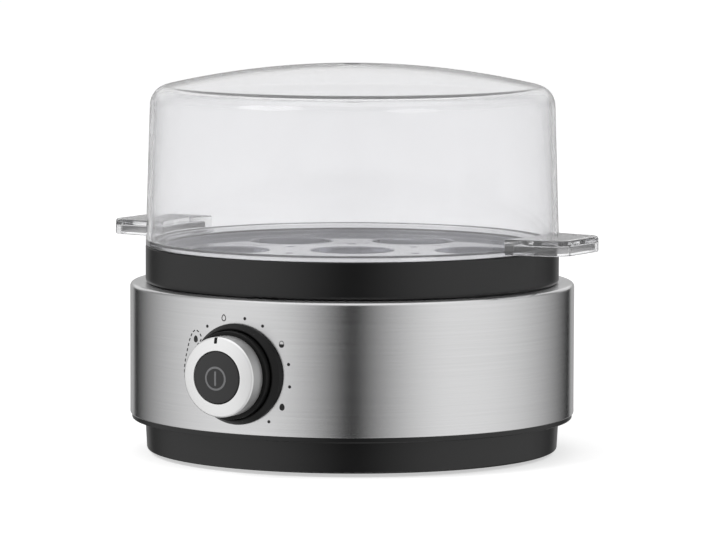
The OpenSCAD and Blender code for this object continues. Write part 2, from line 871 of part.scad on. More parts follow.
module cord_bush() {
    tip = body_r + bush_out;
    sleeve_in = pad_face - bush_flange_t - bush_in;
    color([0.1, 0.1, 0.1]) translate([0, 0, z_cord]) rotate([-90, 0, 0]) difference() {
        union() {
            post(bush_r, sleeve_in, tub_r + 1);
            post(bush_flange_r, pad_face - bush_flange_t, pad_face);
            translate([0, 0, tub_r + 1]) cylinder(r1 = bush_r, r2 = bush_tip_r, h = tip - tub_r - 1);
        }
        post(cord_r, sleeve_in - cut, tip + cut);
        for (y = [tip - 9, tip - 6, tip - 3]) band(bush_r + 1, bush_tip_r - 0.25, y - 0.5, y + 0.5);
    }
}

module cord_clamp() {
    half_l = clamp_post_x + clamp_post_r;
    color([0.2, 0.2, 0.21]) difference() {
        block([-half_l, clamp_y - clamp_half_w, clamp_bottom], [half_l, clamp_y + clamp_half_w, clamp_top]);
        translate([0, clamp_y, z_cord]) rotate([90, 0, 0]) cylinder(r = cord_r, h = 20, center = true);
        for (sx = [-1, 1]) translate([sx * clamp_post_x, clamp_y, 0])
            post(m3_r, clamp_bottom - cut, clamp_top + cut);
    }
}

module cord_clamp_screws() {
    color([0.7, 0.7, 0.72]) for (sx = [-1, 1]) translate([sx * clamp_post_x, clamp_y, clamp_top])
        rotate([180, 0, 0]) cross_screw(m3_pilot_r, clamp_top - z_base - 2, m3_head_r, m3_head_h);
}

// Centre of a well in the terminal block
function well_at(i) = [block_x + (i - 1) * block_pitch, block_y, z_floor + block_size[2]];

module terminal_block() {
    p0 = [block_x - block_size[0] / 2, block_y - block_size[1] / 2, z_floor];
    color([0.93, 0.91, 0.86]) difference() {
        block(p0, p0 + block_size);
        for (i = [0 : 2]) translate(well_at(i)) post(block_well_r, -block_well_h, cut);
    }
}

module terminal_screws() {
    color([0.8, 0.7, 0.4]) for (i = [0 : 2]) translate(well_at(i)) difference() {
        post(block_well_r - 0.2, -block_well_h, -block_well_h + 2);
        block([-3, -0.4, -block_well_h + 1.2], [3, 0.4, 0]);
    }
}

// Leads leave the block's front face, facing the middle of the base
function lead_exit(i) = [block_x + (i - 1) * block_pitch, block_y - block_size[1] / 2, z_floor + 5];
connector_pin = [connector_x, -body_r - board_back + connector_size[2], knob_z + connector_y];
lead_layers = [18, 22, 27, 31];
lead_turns = [8, 5, 11];
plug_turns = [9, 5];
function z_lead(i) = z_floor + lead_layers[i];

module live_lead() {
    p = lead_exit(0);
    q = connector_pin + [connector_pitch / 2, 0, 0];
    y0 = p[1] - lead_turns[0];
    y1 = q[1] + plug_turns[0];
    color([0.45, 0.25, 0.12]) lead([p, [p[0], y0, p[2]], [p[0], y0, z_lead(1)],
        [q[0], y1, z_lead(1)], [q[0], y1, q[2]], q]);
}

module neutral_lead() {
    p = lead_exit(1);
    q = [element_r * cos(element_ends[1]), element_r * sin(element_ends[1]), z_blade];
    y0 = p[1] - lead_turns[1];
    color([0.15, 0.3, 0.65]) lead([p, [p[0], y0, p[2]], [p[0], y0, z_lead(0)],
        [q[0], q[1], z_lead(0)], q]);
}

module earth_lead() {
    p = lead_exit(2);
    q = [earth_x + 8 - strap_t / 2, earth_y, z_spreader - strap_t - blade_l];
    y0 = p[1] - lead_turns[2];
    color([0.4, 0.6, 0.15]) lead([p, [p[0], y0, p[2]], [p[0], y0, z_lead(2)],
        [q[0], q[1], z_lead(2)], q]);
}

module heater_lead() {
    p = connector_pin - [connector_pitch / 2, 0, 0];
    q = [thermo_blade_x, 0, z_thermo - blade_l];
    y0 = p[1] + plug_turns[1];
    color([0.75, 0.2, 0.15]) lead([p, [p[0], y0, p[2]], [p[0], y0, z_lead(3)],
        [q[0], q[1], z_lead(3)], q]);
}

// Lead from the thermostat to the fuse, and from the fuse to the other end of the element
module fuse_lead() {
    tip_x = fuse_l / 2 + fuse_lead_l;
    fuse_turn = 3;
    x1 = tip_x + 4;
    z_turn = z_thermo - blade_l - fuse_turn;
    q = [element_r * cos(element_ends[0]), element_r * sin(element_ends[0]), z_blade];
    color([0.75, 0.2, 0.15]) {
        lead([[-thermo_blade_x, 0, z_turn + fuse_turn], [-thermo_blade_x, 0, z_turn],
            [-thermo_blade_x, fuse_y, z_turn], [x1, fuse_y, z_turn], [x1, fuse_y, z_fuse],
            [tip_x, fuse_y, z_fuse]]);
        lead([[-tip_x, fuse_y, z_fuse], [-x1, fuse_y, z_fuse], [-x1, fuse_y, z_blade - blade_l],
            [q[0], q[1], z_blade - blade_l], q]);
    }
}

// Egg tray and lid

collar_t = 1.6;
egg_hole_r = egg_hole_d / 2;
egg_circle_r = pan_ri - 1.1 - collar_t - egg_hole_r;
tray_bottom = z_pan + seat_gap;
tray_top = tray_bottom + tray_t;
collar_drop = 4;
bead_w = 1.6;
bead_rise = 1.8;
steam_hole_r = 1.8;
egg_angles = [for (i = [0 : egg_count - 1]) 90 + 360 / egg_count * i];

module egg_sockets(r, z0, z1) {
    post(r, z0, z1);
    around(egg_angles, egg_circle_r) post(r, z0, z1);
}

module egg_tray() {
    color([0.75, 0.77, 0.8, 0.5]) difference() {
        union() {
            post(tray_r, tray_bottom, tray_top);
            band(tray_r, tray_r - bead_w, tray_bottom, tray_top + bead_rise);
            egg_sockets(egg_hole_r + collar_t, tray_bottom - collar_drop, tray_bottom + 0.1);
        }
        egg_sockets(egg_hole_r, tray_bottom - collar_drop - cut, tray_top + cut);
        for (a = egg_angles) rotate(a + 180 / egg_count) {
            translate([egg_circle_r * 0.58, 0, 0]) post(steam_hole_r, tray_bottom - cut, tray_top + cut);
            translate([tray_r - 9, 0, 0]) post(steam_hole_r, tray_bottom - cut, tray_top + cut);
        }
    }
}

lid_z = z_rim + seat_gap;
lid_rim_h = 1.8;
lip_h = 3;
z_apex = lid_z + lid_h;
z_dome = z_apex - dome_r;
lid_r = ring_r;
// The round between the wall and the dome touches both, so its centre follows from their radii
function wall_r(z) = lid_r - (z - lid_z) * tan(lid_draft);
function round_z(rc) = z_dome + sqrt(pow(dome_r - lid_fillet, 2) - rc * rc);
round_r0 = wall_r(lid_z + lid_h - 16) - lid_fillet;
round_r = wall_r(round_z(round_r0) + lid_fillet * sin(lid_draft)) - lid_fillet * cos(lid_draft);
round_c = [round_r, round_z(round_r)];

// Turned profile of the lid's outside for inset = 0, and of its hollow for inset = lid_t
module lid_profile(inset) {
    r = lid_fillet - inset;
    foot = lid_z - (inset > 0 ? lip_h + cut : 0);
    // The wall ends a hair inside the round, so that rounded numbers leave no gap between them
    wall_top = round_c + (r - 0.002) * [cos(lid_draft), sin(lid_draft)];
    d = unit(round_c - [0, z_dome]);
    dome_edge = [0, z_dome] + (dome_r - inset) * d;
    union() {
        polygon([[0, foot], [wall_top[0] + (wall_top[1] - foot) * tan(lid_draft), foot], wall_top,
            [dome_edge[0], wall_top[1]], dome_edge, [0, dome_edge[1]]]);
        intersection() {
            translate(round_c) circle(r);
            section(dome_edge[0], round_c[0] + r, wall_top[1], round_c[1] + r);
        }
        intersection() {
            translate([0, z_dome]) circle(dome_r - inset, $fn = 360);
            section(0, dome_edge[0], dome_edge[1] - 1, z_apex);
        }
    }
}

// Handle outline, seen from above, pulled in by inset
module handle_outline(inset) {
    x0 = lid_r - 3;
    x1 = lid_r + handle_out - inset;
    root = handle_root_w / 2 - inset;
    tip = handle_tip_w / 2 - inset;
    a = [x0, -root];
    b = [x1, -tip];
    c = [x1, tip];
    d = [x0, root];
    polygon(concat([a], round_points(a, b, c, 4 - inset), round_points(b, c, d, 4 - inset), [d]));
}

handle_t = 2;
handle_lift = 0.7;

module lid_handle() {
    translate([0, 0, lid_z + handle_lift]) difference() {
        linear_extrude(handle_h) handle_outline(0);
        difference() {
            translate([0, 0, -cut]) linear_extrude(handle_h - lid_t + cut) handle_outline(handle_t);
            translate([0, 0, -2 * cut]) cylinder(r = lid_r + handle_t, h = handle_h + 2 * cut);
        }
    }
}

module lid() {
    color([0.85, 0.87, 0.9, 0.35]) difference() {
        union() {
            difference() {
                union() {
                    rotate_extrude() lid_profile(0);
                    for (a = [0, 180]) rotate(a) lid_handle();
                }
                rotate_extrude() lid_profile(lid_t);
            }
            band(lid_r - 0.5, lip_ri, lid_z, lid_z + lid_rim_h);
            band(lip_ro, lip_ri, lid_z - lip_h, lid_z + lid_rim_h);
        }
        post(vent_d / 2, z_apex - 10, z_apex + cut);
    }
}

base_tub();
rubber_feet();
tie_screws();
steel_band();
upper_ring();
boiling_pan();
pan_seal();
heat_spreader();
heating_element();
element_terminals();
thermostat();
thermostat_strap();
thermal_fuse();
fuse_strap();
earth_tag();
strap_screws();
knob_bezel();
bezel_screws();
control_carrier();
carrier_screws();
knob_circlip();
encoder_stator();
control_board();
board_screws();
tact_switch();
relay();
capacitor();
buzzer();
control_chip();
board_connector();
button_spring();
cord_bush();
cord_clamp();
cord_clamp_screws();
terminal_block();
terminal_screws();
live_lead();
neutral_lead();
earth_lead();
heater_lead();
fuse_lead();
knob_cap();
knob_skirt();
knob_pointer();
encoder_rotor();
power_button();
button_stem();
egg_tray();
lid();
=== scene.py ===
"""Looks of the electric egg cooker: finishes, clear lid and tray, knob, button, dial print and studio."""

import json
import math

import bmesh
import bpy
from mathutils import Matrix, Vector


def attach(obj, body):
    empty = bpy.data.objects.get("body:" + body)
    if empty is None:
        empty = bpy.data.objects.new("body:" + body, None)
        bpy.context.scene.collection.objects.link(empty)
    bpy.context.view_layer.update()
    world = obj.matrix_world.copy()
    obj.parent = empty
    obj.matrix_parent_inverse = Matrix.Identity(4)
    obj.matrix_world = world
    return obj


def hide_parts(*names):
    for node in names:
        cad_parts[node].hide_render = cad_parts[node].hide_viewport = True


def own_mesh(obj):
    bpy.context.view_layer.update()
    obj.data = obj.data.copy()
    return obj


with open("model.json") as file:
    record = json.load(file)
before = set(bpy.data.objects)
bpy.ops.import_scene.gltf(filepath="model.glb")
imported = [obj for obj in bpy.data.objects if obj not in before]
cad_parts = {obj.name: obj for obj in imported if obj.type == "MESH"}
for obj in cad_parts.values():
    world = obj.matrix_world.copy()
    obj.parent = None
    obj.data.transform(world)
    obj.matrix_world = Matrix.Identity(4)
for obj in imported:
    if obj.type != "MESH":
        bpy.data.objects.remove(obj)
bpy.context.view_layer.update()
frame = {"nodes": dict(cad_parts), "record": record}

# Lengths in mm, angles in radians, heights over the table
MM = 0.001
BAND_R = 87.5
BAND_T = 0.8
KNOB_Z = 39.0
LID_Z = 82.1
LID_R = 81.4
LID_T = 2.2
APEX_Z = 153.1
DOME_R = 327.0
LID_DRAFT = math.radians(1.8)
LID_ROUND = 8.1

# Lid handles: their root inside the lid's wall, corners at root and tip, height, wall and finger channel
HANDLE_Z = 82.8
HANDLE_H = 6.0
HANDLE_ROOT_R = 80.4
HANDLE_ROOT = (78.4, 20.0)
HANDLE_TIP = (102.8, 16.5)
HANDLE_TIP_ROUND = 7.5
HANDLE_WALL = 2.0
CHANNEL_H = 3.8
CHANNEL_X = 92.0

# Knob cap, in the knob frame: its side, the edge of its face, the face's dome and the turn of its mark
CAP_R, CAP_SIDE = 15.25, 13.0
EDGE_R, EDGE_H = 14.75, 13.5
FACE_R = 48.0
FACE_Z = EDGE_H - math.sqrt(FACE_R ** 2 - EDGE_R ** 2)
MARK_TURN = math.radians(4)

# Print on the band: its sunk back and its face over the surface
PRINT_LOW, PRINT_TOP = -0.03, 0.05

CAMERA_TURN = math.radians(30)

# Knob frame: x to the right, y up, z out of the band
KNOB = Matrix.Translation((0, -BAND_R * MM, KNOB_Z * MM)) @ Matrix.Rotation(math.pi / 2, 4, "X")


# Shader sums


class Sock:
    """Output of a shader node that can stand in a sum."""

    def __init__(self, graph, out):
        self.graph = graph
        self.out = out

    def sum(self, operation, *values):
        return self.graph.add("ShaderNodeMath", {"operation": operation}, dict(enumerate(values)))

    def __add__(self, other):
        return self.sum("ADD", self, other)

    def __radd__(self, other):
        return self.sum("ADD", other, self)

    def __sub__(self, other):
        return self.sum("SUBTRACT", self, other)

    def __rsub__(self, other):
        return self.sum("SUBTRACT", other, self)

    def __mul__(self, other):
        return self.sum("MULTIPLY", self, other)

    def __rmul__(self, other):
        return self.sum("MULTIPLY", other, self)

    def __abs__(self):
        return self.sum("ABSOLUTE", self)

    def ramp(self, low, high, shape="LINEAR"):
        """0 below low, 1 above high."""
        return self.graph.add("ShaderNodeMapRange", {"interpolation_type": shape},
                              {"Value": self, "From Min": low, "From Max": high})


class Graph:
    """Node tree of one finish or of the world."""

    def __init__(self, tree):
        tree.nodes.clear()
        self.tree = tree

    def add(self, kind, settings=None, sockets=None, out=0):
        node = self.tree.nodes.new(kind)
        for key, value in (settings or {}).items():
            setattr(node, key, value)
        for key, value in (sockets or {}).items():
            if isinstance(value, Sock):
                self.tree.links.new(value.out, node.inputs[key])
            else:
                node.inputs[key].default_value = value
        return Sock(self, node.outputs[out]) if node.outputs else node

    def place(self, scale=(1, 1, 1), shift=(0, 0, 0), turn=(0, 0, 0)):
        at = self.add("ShaderNodeTexCoord", out="Object")
        return self.add("ShaderNodeMapping", {"vector_type": "POINT"},
                        {"Vector": at, "Location": shift, "Rotation": turn, "Scale": scale})

    def noise(self, at, scale, detail):
        return self.add("ShaderNodeTexNoise", {}, {"Vector": at, "Scale": scale, "Detail": detail})

    def blend(self, share, first, second):
        return self.add("ShaderNodeMix", {"data_type": "RGBA"}, {0: share, 6: first, 7: second}, out=2)

    def part(self, at, axis):
        return self.add("ShaderNodeSeparateXYZ", {}, {0: at}, out=axis)

    def bump(self, height, depth):
        return self.add("ShaderNodeBump", {}, {"Height": height, "Distance": depth * MM, "Strength": 1.0})

    def rays(self):
        """Marks of rays from the camera, from a mirror image and through a clear piece."""
        path = self.tree.nodes.new("ShaderNodeLightPath")
        kinds = ("Is Camera Ray", "Is Glossy Ray", "Is Transmission Ray")
        return [Sock(self, path.outputs[kind]) for kind in kinds]


def rgba(shade, gain=1.0):
    return (*(min(1.0, c * gain) for c in shade), 1.0)


def finish(name, sockets, tint=None, density=0.0):
    """Finish called name. sockets(graph) gives the values of its shader, tint and density what it
    absorbs inside."""
    made = bpy.data.materials.new(name)
    made.use_nodes = True
    graph = Graph(made.node_tree)
    shader = graph.add("ShaderNodeBsdfPrincipled", {}, sockets(graph))
    ends = {"Surface": shader}
    if tint:
        ends["Volume"] = graph.add("ShaderNodeVolumeAbsorption", {},
                                   {"Color": rgba(tint), "Density": density})
    graph.add("ShaderNodeOutputMaterial", {}, ends)
    return made


def moulded(name, shade, rough, grain=0.3, depth=0.004, mottle=0.1, **fixed):
    """Moulded plastic, rubber or ceramic: fine grain in the surface, cloudy colour and gloss."""
    def sockets(g):
        at = g.place()
        cloud = g.noise(at, 70, 3)
        fine = g.noise(at, 1 / (grain * MM), 2)
        return {"Base Color": g.blend(cloud, rgba(shade, 1 - mottle), rgba(shade, 1 + mottle)),
                "Roughness": rough - 0.05 + 0.06 * cloud + 0.04 * fine,
                "Normal": g.bump(fine, depth), **fixed}
    return finish(name, sockets)


def metal(name, shade, rough, stretch=(1, 1, 1), pitch=0.3, depth=0.002, spread=0.12, **fixed):
    """Metal with scratches drawn out along the axes where stretch is small."""
    def sockets(g):
        lines = g.noise(g.place(stretch), 1 / (pitch * MM), 3)
        cloud = g.noise(g.place(), 45, 3)
        return {"Base Color": g.blend(lines, rgba(shade, 0.92), rgba(shade, 1.06)), "Metallic": 1.0,
                "Roughness": rough - spread / 2 + spread * lines + 0.05 * cloud,
                "Normal": g.bump(lines, depth), **fixed}
    return finish(name, sockets)


def turned_metal(name, shade, rough, centre, turn, pitch=0.12, depth=0.0015, side=None, **fixed):
    """Metal or metallised face with turning rings round an axis through centre, which is z after turn.
    side: height and gain of the side below the face, whose colour is darkened there as painted shade."""
    def sockets(g):
        at = g.place(shift=centre, turn=turn)
        x, y = g.part(at, 0), g.part(at, 1)
        square = x * x + y * y
        radius = square.sum("SQRT", square)
        along = g.part(at, 2)
        rings = g.noise(g.add("ShaderNodeCombineXYZ", {}, {0: radius, 2: along}), 1 / (pitch * MM), 2)
        cloud = g.noise(at, 60, 2)
        tone = g.blend(rings, rgba(shade, 0.95), rgba(shade, 1.04))
        if side:
            height, gain = side
            # Painted shade: below the given height the side's colour is darkened by gain
            tone = g.blend(along.ramp(height - 0.2 * MM, height), rgba(shade, gain), tone)
        return {"Base Color": tone, "Metallic": 1.0,
                "Roughness": rough - 0.04 + 0.08 * rings + 0.03 * cloud,
                "Normal": g.bump(rings, depth), **fixed}
    return finish(name, sockets)


def clear(name, shade, rough, clarity, tint, density, channel_shade=None, **fixed):
    """Clear moulding that darkens with depth: slow waves of the mould in its skin and a few dull streaks.
    The argument after density gives the gain of painted shade on the marked faces in the finger channels,
    and the roughness added there."""
    def sockets(g):
        at = g.place()
        slow = g.noise(at, 24, 1)
        streak = g.noise(g.place((1, 1, 0.15)), 160, 3)
        tone = g.blend(streak, rgba(shade, 0.985), rgba(shade, 1.01))
        dull = rough + 0.02 * streak.ramp(0.55, 0.8)
        if channel_shade:
            gain, duller = channel_shade
            mark = g.add("ShaderNodeAttribute", {"attribute_name": "channel_shade"}, out="Fac")
            # Painted shade: the marked channel faces take a darker colour, and more roughness
            tone = g.blend(mark, tone, rgba(shade, gain))
            dull = dull + duller * mark
        return {"Base Color": tone, "Roughness": dull,
                "Normal": g.bump(slow, 0.012), "Transmission Weight": clarity, **fixed}
    return finish(name, sockets, tint, density)


FINISH = {
    "black_plastic": moulded("black_plastic", (0.004, 0.004, 0.0042), 0.3, grain=0.35, depth=0.003),
    "black_rubber": moulded("black_rubber", (0.018, 0.018, 0.018), 0.72, grain=0.5, depth=0.012),
    "zinc_screw": metal("zinc_screw", (0.66, 0.66, 0.67), 0.3),
    "brushed_band": metal("brushed_band", (0.74, 0.74, 0.745), 0.21, stretch=(0.006, 0.006, 1), pitch=0.35,
                          depth=0.0009, spread=0.09, **{"Anisotropic": 0.9, "Anisotropic Rotation": 0.25}),
    "pan_steel": turned_metal("pan_steel", (0.62, 0.62, 0.63), 0.3, (0, 0, 0), (0, 0, 0), pitch=0.5),
    "silicone": moulded("silicone", (0.55, 0.53, 0.5), 0.6, grain=0.6, depth=0.01),
    "spreader_aluminium": metal("spreader_aluminium", (0.72, 0.73, 0.74), 0.35, stretch=(1, 0.02, 1)),
    "element_sheath": metal("element_sheath", (0.36, 0.34, 0.32), 0.45, spread=0.25),
    "steatite": moulded("steatite", (0.8, 0.77, 0.7), 0.65, grain=0.4, depth=0.01),
    "phenolic": moulded("phenolic", (0.07, 0.05, 0.04), 0.45),
    "strap_steel": metal("strap_steel", (0.62, 0.62, 0.63), 0.32, stretch=(0.03, 1, 1)),
    "tag_brass": metal("tag_brass", (0.72, 0.56, 0.26), 0.3, stretch=(0.05, 1, 1)),
    "bezel_plastic": moulded("bezel_plastic", (0.004, 0.004, 0.0041), 0.38, grain=0.25, depth=0.002,
                             **{"Specular IOR Level": 0.22}),
    "inner_plastic": moulded("inner_plastic", (0.05, 0.05, 0.055), 0.45),
    "spring_steel": metal("spring_steel", (0.58, 0.58, 0.6), 0.28),
    "circuit_board": moulded("circuit_board", (0.03, 0.17, 0.07), 0.4, grain=0.8, depth=0.01, mottle=0.25),
    "component_black": moulded("component_black", (0.02, 0.02, 0.02), 0.5),
    "relay_blue": moulded("relay_blue", (0.04, 0.12, 0.38), 0.42),
    "capacitor_sleeve": moulded("capacitor_sleeve", (0.03, 0.04, 0.12), 0.25),
    "nylon_white": moulded("nylon_white", (0.78, 0.76, 0.7), 0.5),
    "lead_brown": moulded("lead_brown", (0.19, 0.08, 0.03), 0.45),
    "lead_blue": moulded("lead_blue", (0.03, 0.1, 0.38), 0.45),
    "lead_green": moulded("lead_green", (0.2, 0.38, 0.05), 0.45, mottle=0.4),
    "lead_red": moulded("lead_red", (0.48, 0.05, 0.03), 0.55),
    # The cap's side is darkened to 0.62 of the colour as painted shade
    "knob_silver": turned_metal("knob_silver", (0.92, 0.92, 0.92), 0.34, (0, -KNOB_Z * MM, 0),
                                (-math.pi / 2, 0, 0), side=((BAND_R + CAP_SIDE) * MM, 0.62),
                                **{"Metallic": 0.72}),
    "knob_black": moulded("knob_black", (0.004, 0.004, 0.004), 0.38, grain=0.25, depth=0.002,
                          **{"Specular IOR Level": 0.22}),
    "button_grey": moulded("button_grey", (0.022, 0.022, 0.0225), 0.5, grain=0.18, depth=0.004),
    "tray_clear": clear("tray_clear", (0.88, 0.88, 0.93), 0.03, 0.72, (0.5, 0.52, 0.56), 30,
                        **{"IOR": 1.5}),
    # Faces in the handles' finger channels are darkened to 0.12 of the colour as painted shade, and made 0.2
    # rougher
    "lid_clear": clear("lid_clear", (0.94, 0.94, 0.95), 0.0, 0.93, (0.5, 0.5, 0.515), 10, (0.12, 0.2),
                       **{"IOR": 1.42}),
    "dial_print": moulded("dial_print", (0.012, 0.012, 0.012), 0.55, grain=0.1, depth=0.002),
    "symbol_grey": moulded("symbol_grey", (0.16, 0.16, 0.165), 0.5, grain=0.1, depth=0.002),
}

for part in frame["record"]["subparts"]:
    slots = frame["nodes"][part["node"]].data.materials
    slots.clear()
    slots.append(FINISH[part["material_slot"]])


# Mesh helpers


def arc(centre, r, start, stop, count):
    """Points of an arc in mm, angles in radians."""
    turns = [start + (stop - start) * k / count for k in range(count + 1)]
    return [Vector((centre[0] + r * math.cos(t), centre[1] + r * math.sin(t))) for t in turns]


def around(r, start, count=6):
    """Even places on a circle, the first at start degrees."""
    turns = [math.radians(start + 360 / count * k) for k in range(count)]
    return [(r * math.cos(t), r * math.sin(t)) for t in turns]


def rounded(corners, step=15):
    """Closed outline through corners (x, y, radius) in mm, each turned with its radius."""
    line = []
    for i, (x, y, r) in enumerate(corners):
        here = Vector((x, y))
        if r <= 0:
            line.append(here)
            continue
        back = (Vector(corners[i - 1][:2]) - here).normalized()
        ahead = (Vector(corners[(i + 1) % len(corners)][:2]) - here).normalized()
        half = back.angle(ahead) / 2
        centre = here + (back + ahead).normalized() * (r / math.sin(half))
        p = here + back * (r / math.tan(half)) - centre
        q = here + ahead * (r / math.tan(half)) - centre
        start, sweep = math.atan2(p.y, p.x), math.atan2(p.x * q.y - p.y * q.x, p.dot(q))
        count = max(2, math.ceil(abs(math.degrees(sweep)) / step))
        line += arc(centre, r, start, start + sweep, count)
    return line


def turned(profile, count=160, place=Matrix.Identity(4), height=None):
    """Closed profile (radius, height) in mm turned round z. height(x, h) may move a point along z."""
    bm = bmesh.new()
    rings = []
    for r, h in profile:
        turns = [2 * math.pi * k / count for k in range(count if r > 1e-6 else 1)]
        ring = []
        for t in turns:
            x, y = r * math.cos(t), r * math.sin(t)
            ring.append(bm.verts.new((x * MM, y * MM, (height(x, h) if height else h) * MM)))
        rings.append(ring)
    for a, b in zip(rings, rings[1:] + rings[:1]):
        for k in range(count):
            n = (k + 1) % count
            corners = [a[k % len(a)], a[n % len(a)], b[n % len(b)], b[k % len(b)]]
            corners = [v for i, v in enumerate(corners) if v not in corners[:i]]
            if len(corners) > 2:
                bm.faces.new(corners)
    bmesh.ops.recalc_face_normals(bm, faces=bm.faces)
    bm.transform(place)
    return bm


def stacked(loops, place=Matrix.Identity(4)):
    """Closed body from loops of equally many points in metres, with a face over the first and the last."""
    bm = bmesh.new()
    rows = [[bm.verts.new(p) for p in loop] for loop in loops]
    for a, b in zip(rows, rows[1:]):
        for k in range(len(a)):
            n = (k + 1) % len(a)
            bm.faces.new((a[k], a[n], b[n], b[k]))
    bm.faces.new(rows[0][::-1])
    bm.faces.new(rows[-1])
    bmesh.ops.recalc_face_normals(bm, faces=bm.faces)
    bm.transform(place)
    return bm


def slab(outline, low, high, place=Matrix.Identity(4)):
    """Flat body of an outline in mm between two heights."""
    return stacked([[Vector((x * MM, y * MM, h * MM)) for x, y in outline] for h in (low, high)], place)


def joined(parts):
    """One body of several, which are used up."""
    bm = bmesh.new()
    for part in parts:
        mesh = bpy.data.meshes.new("part")
        part.to_mesh(mesh)
        part.free()
        bm.from_mesh(mesh)
        bpy.data.meshes.remove(mesh)
    return bm


def linked(name, data):
    """New object in the scene."""
    made = bpy.data.objects.new(name, data)
    bpy.context.scene.collection.objects.link(made)
    return made


def solid(name, bm):
    """New object of a body, which is used up."""
    mesh = bpy.data.meshes.new(name)
    bm.to_mesh(mesh)
    bm.free()
    return linked(name, mesh)


def settle(piece):
    """Bakes a piece's modifiers into its mesh."""
    graph = bpy.context.evaluated_depsgraph_get()
    mesh = bpy.data.meshes.new_from_object(piece.evaluated_get(graph))
    piece.modifiers.clear()
    piece.data = mesh


def cut_or_join(piece, tool, operation):
    """Changes a piece with a tool, which is used up."""
    change = piece.modifiers.new("tool", "BOOLEAN")
    change.operation = operation
    change.object = tool
    change.solver = "EXACT"
    settle(piece)
    bpy.data.objects.remove(tool)


def smooth(piece, angle=32):
    """Smooth skin with creases at sharp edges, and flat faces that stay flat."""
    piece.data.shade_smooth()
    piece.data.set_sharp_from_angle(angle=math.radians(angle))
    flats = piece.modifiers.new("flats", "WEIGHTED_NORMAL")
    flats.keep_sharp = True
    settle(piece)


def dress(piece, material, slot, body, *replaced):
    """Gives a piece its finish, the body it rides on and the nodes it replaces; the slot argument is not
    used.
    """
    piece.data.materials.clear()
    piece.data.materials.append(FINISH[material])
    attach(piece, body)
    if replaced:
        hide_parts(*replaced)


# Camera of the photograph, 716 x 540


def photo_camera():
    away, height, dip, roll = 1.9444, 0.2523, math.radians(5.306), math.radians(-0.139)
    right = Vector((math.cos(CAMERA_TURN), math.sin(CAMERA_TURN), 0))
    ahead = Vector((-math.sin(CAMERA_TURN), math.cos(CAMERA_TURN), 0)) * math.cos(dip)
    ahead.z = -math.sin(dip)
    up = right.cross(ahead)
    x = right * math.cos(roll) - up * math.sin(roll)
    y = right * math.sin(roll) + up * math.cos(roll)
    lens = bpy.data.cameras.new("photo_camera")
    lens.sensor_width = 36.0
    lens.lens = 249.04
    lens.shift_x = 5.72 / 716
    lens.clip_end = 50
    made = linked("photo_camera", lens)
    turn = Matrix((x, y, -ahead)).transposed().to_4x4()
    place = Vector((away * math.sin(CAMERA_TURN), -away * math.cos(CAMERA_TURN), height))
    made.matrix_world = Matrix.Translation(place) @ turn
    bpy.context.scene.camera = made


# Steel band


def make_band():
    """Band with a rounded shoulder and lower edge and an opening behind the knob."""
    inner, mouth, low, top, opening_r = BAND_R - BAND_T, 78.9, 15.95, 67.3, 18.5
    section = rounded([(inner, low, 0.1), (BAND_R, low, 0.4), (BAND_R, top, 1.5), (mouth, top, 0.2),
                       (mouth, top - BAND_T, 0.2), (inner, top - BAND_T, 0.7)], 7.5)
    piece = solid("steel_band_shell", turned(section, 480))
    opening = turned([(0, -12), (opening_r, -12), (opening_r, 10), (0, 10)], 96, KNOB)
    cut_or_join(piece, solid("opening", opening), "DIFFERENCE")
    smooth(piece)
    dress(piece, "brushed_band", "brushed_band", "base", "steel_band")


# Lid


def lid_profile():
    """Section of the lid's shell: lip, rim, drafted wall, round shoulder, shallow dome and vent edge."""
    dome_z = APEX_Z - DOME_R

    def wall(z):
        return LID_R - (z - LID_Z) * math.tan(LID_DRAFT)

    def round_z(r):
        return dome_z + math.sqrt((DOME_R - LID_ROUND) ** 2 - r * r)

    r0 = wall(APEX_Z - 16) - LID_ROUND
    rc = wall(round_z(r0) + LID_ROUND * math.sin(LID_DRAFT)) - LID_ROUND * math.cos(LID_DRAFT)
    centre = (rc, round_z(rc))
    lean = math.atan2(centre[1] - dome_z, centre[0])
    vent_r, edge_r = 4.0, 0.4

    def skin(inset):
        shoulder = arc(centre, LID_ROUND - inset, LID_DRAFT, lean, 14)
        edge = math.acos((vent_r + edge_r) / (DOME_R - inset))
        return shoulder + arc((0, dome_z), DOME_R - inset, lean, edge, 26)[1:]

    outer, inner = skin(0), skin(LID_T)
    lip_ri, lip_ro, lip_z, ledge, mid = 76.2, 78.0, 79.1, 83.9, 100
    foot = rounded([(lip_ro, lip_z, 0.35), (lip_ro, LID_Z, 0.25), (LID_R, LID_Z, 0.45), (wall(mid), mid, 0)])
    vent = arc((vent_r + edge_r, outer[-1][1] - edge_r), edge_r, math.pi / 2, math.pi, 4)
    vent += arc((vent_r + edge_r, inner[-1][1] + edge_r), edge_r, math.pi, math.pi * 1.5, 4)
    seat = rounded([(wall(mid) - LID_T, mid, 0), (wall(ledge) - LID_T, ledge, 0.5), (lip_ri, ledge, 0.5),
                    (lip_ri, lip_z, 0.35), (lip_ro, lip_z, 0)])
    return foot[:-1] + outer + vent[1:-1] + inner[::-1] + seat[1:-1]


def handle_loop(inset, root_r, z):
    """Outline of a lid handle seen from above, pulled in by inset, with its root on a circle round the
    lid's axis."""
    root, tip = Vector(HANDLE_ROOT), Vector(HANDLE_TIP)
    along = (tip - root).normalized()
    out = Vector((-along.y, along.x))
    half = math.acos(along.x) / 2
    reach = HANDLE_TIP_ROUND * math.tan(math.pi / 4 - half)
    middle = tip - along * reach - out * HANDLE_TIP_ROUND
    start = root - out * inset
    k = start.dot(along)
    meet = start + along * (-k + math.sqrt(k * k - start.length_squared + root_r ** 2))
    spread = math.atan2(meet.y, meet.x)
    corner = arc(middle, HANDLE_TIP_ROUND - inset, 0, math.atan2(out.y, out.x), 14)
    back = arc((0, 0), root_r, spread, -spread, 16)
    points = corner + back + [Vector((p.x, -p.y)) for p in corner[::-1]]
    return [Vector((p.x * MM, p.y * MM, z * MM)) for p in points]


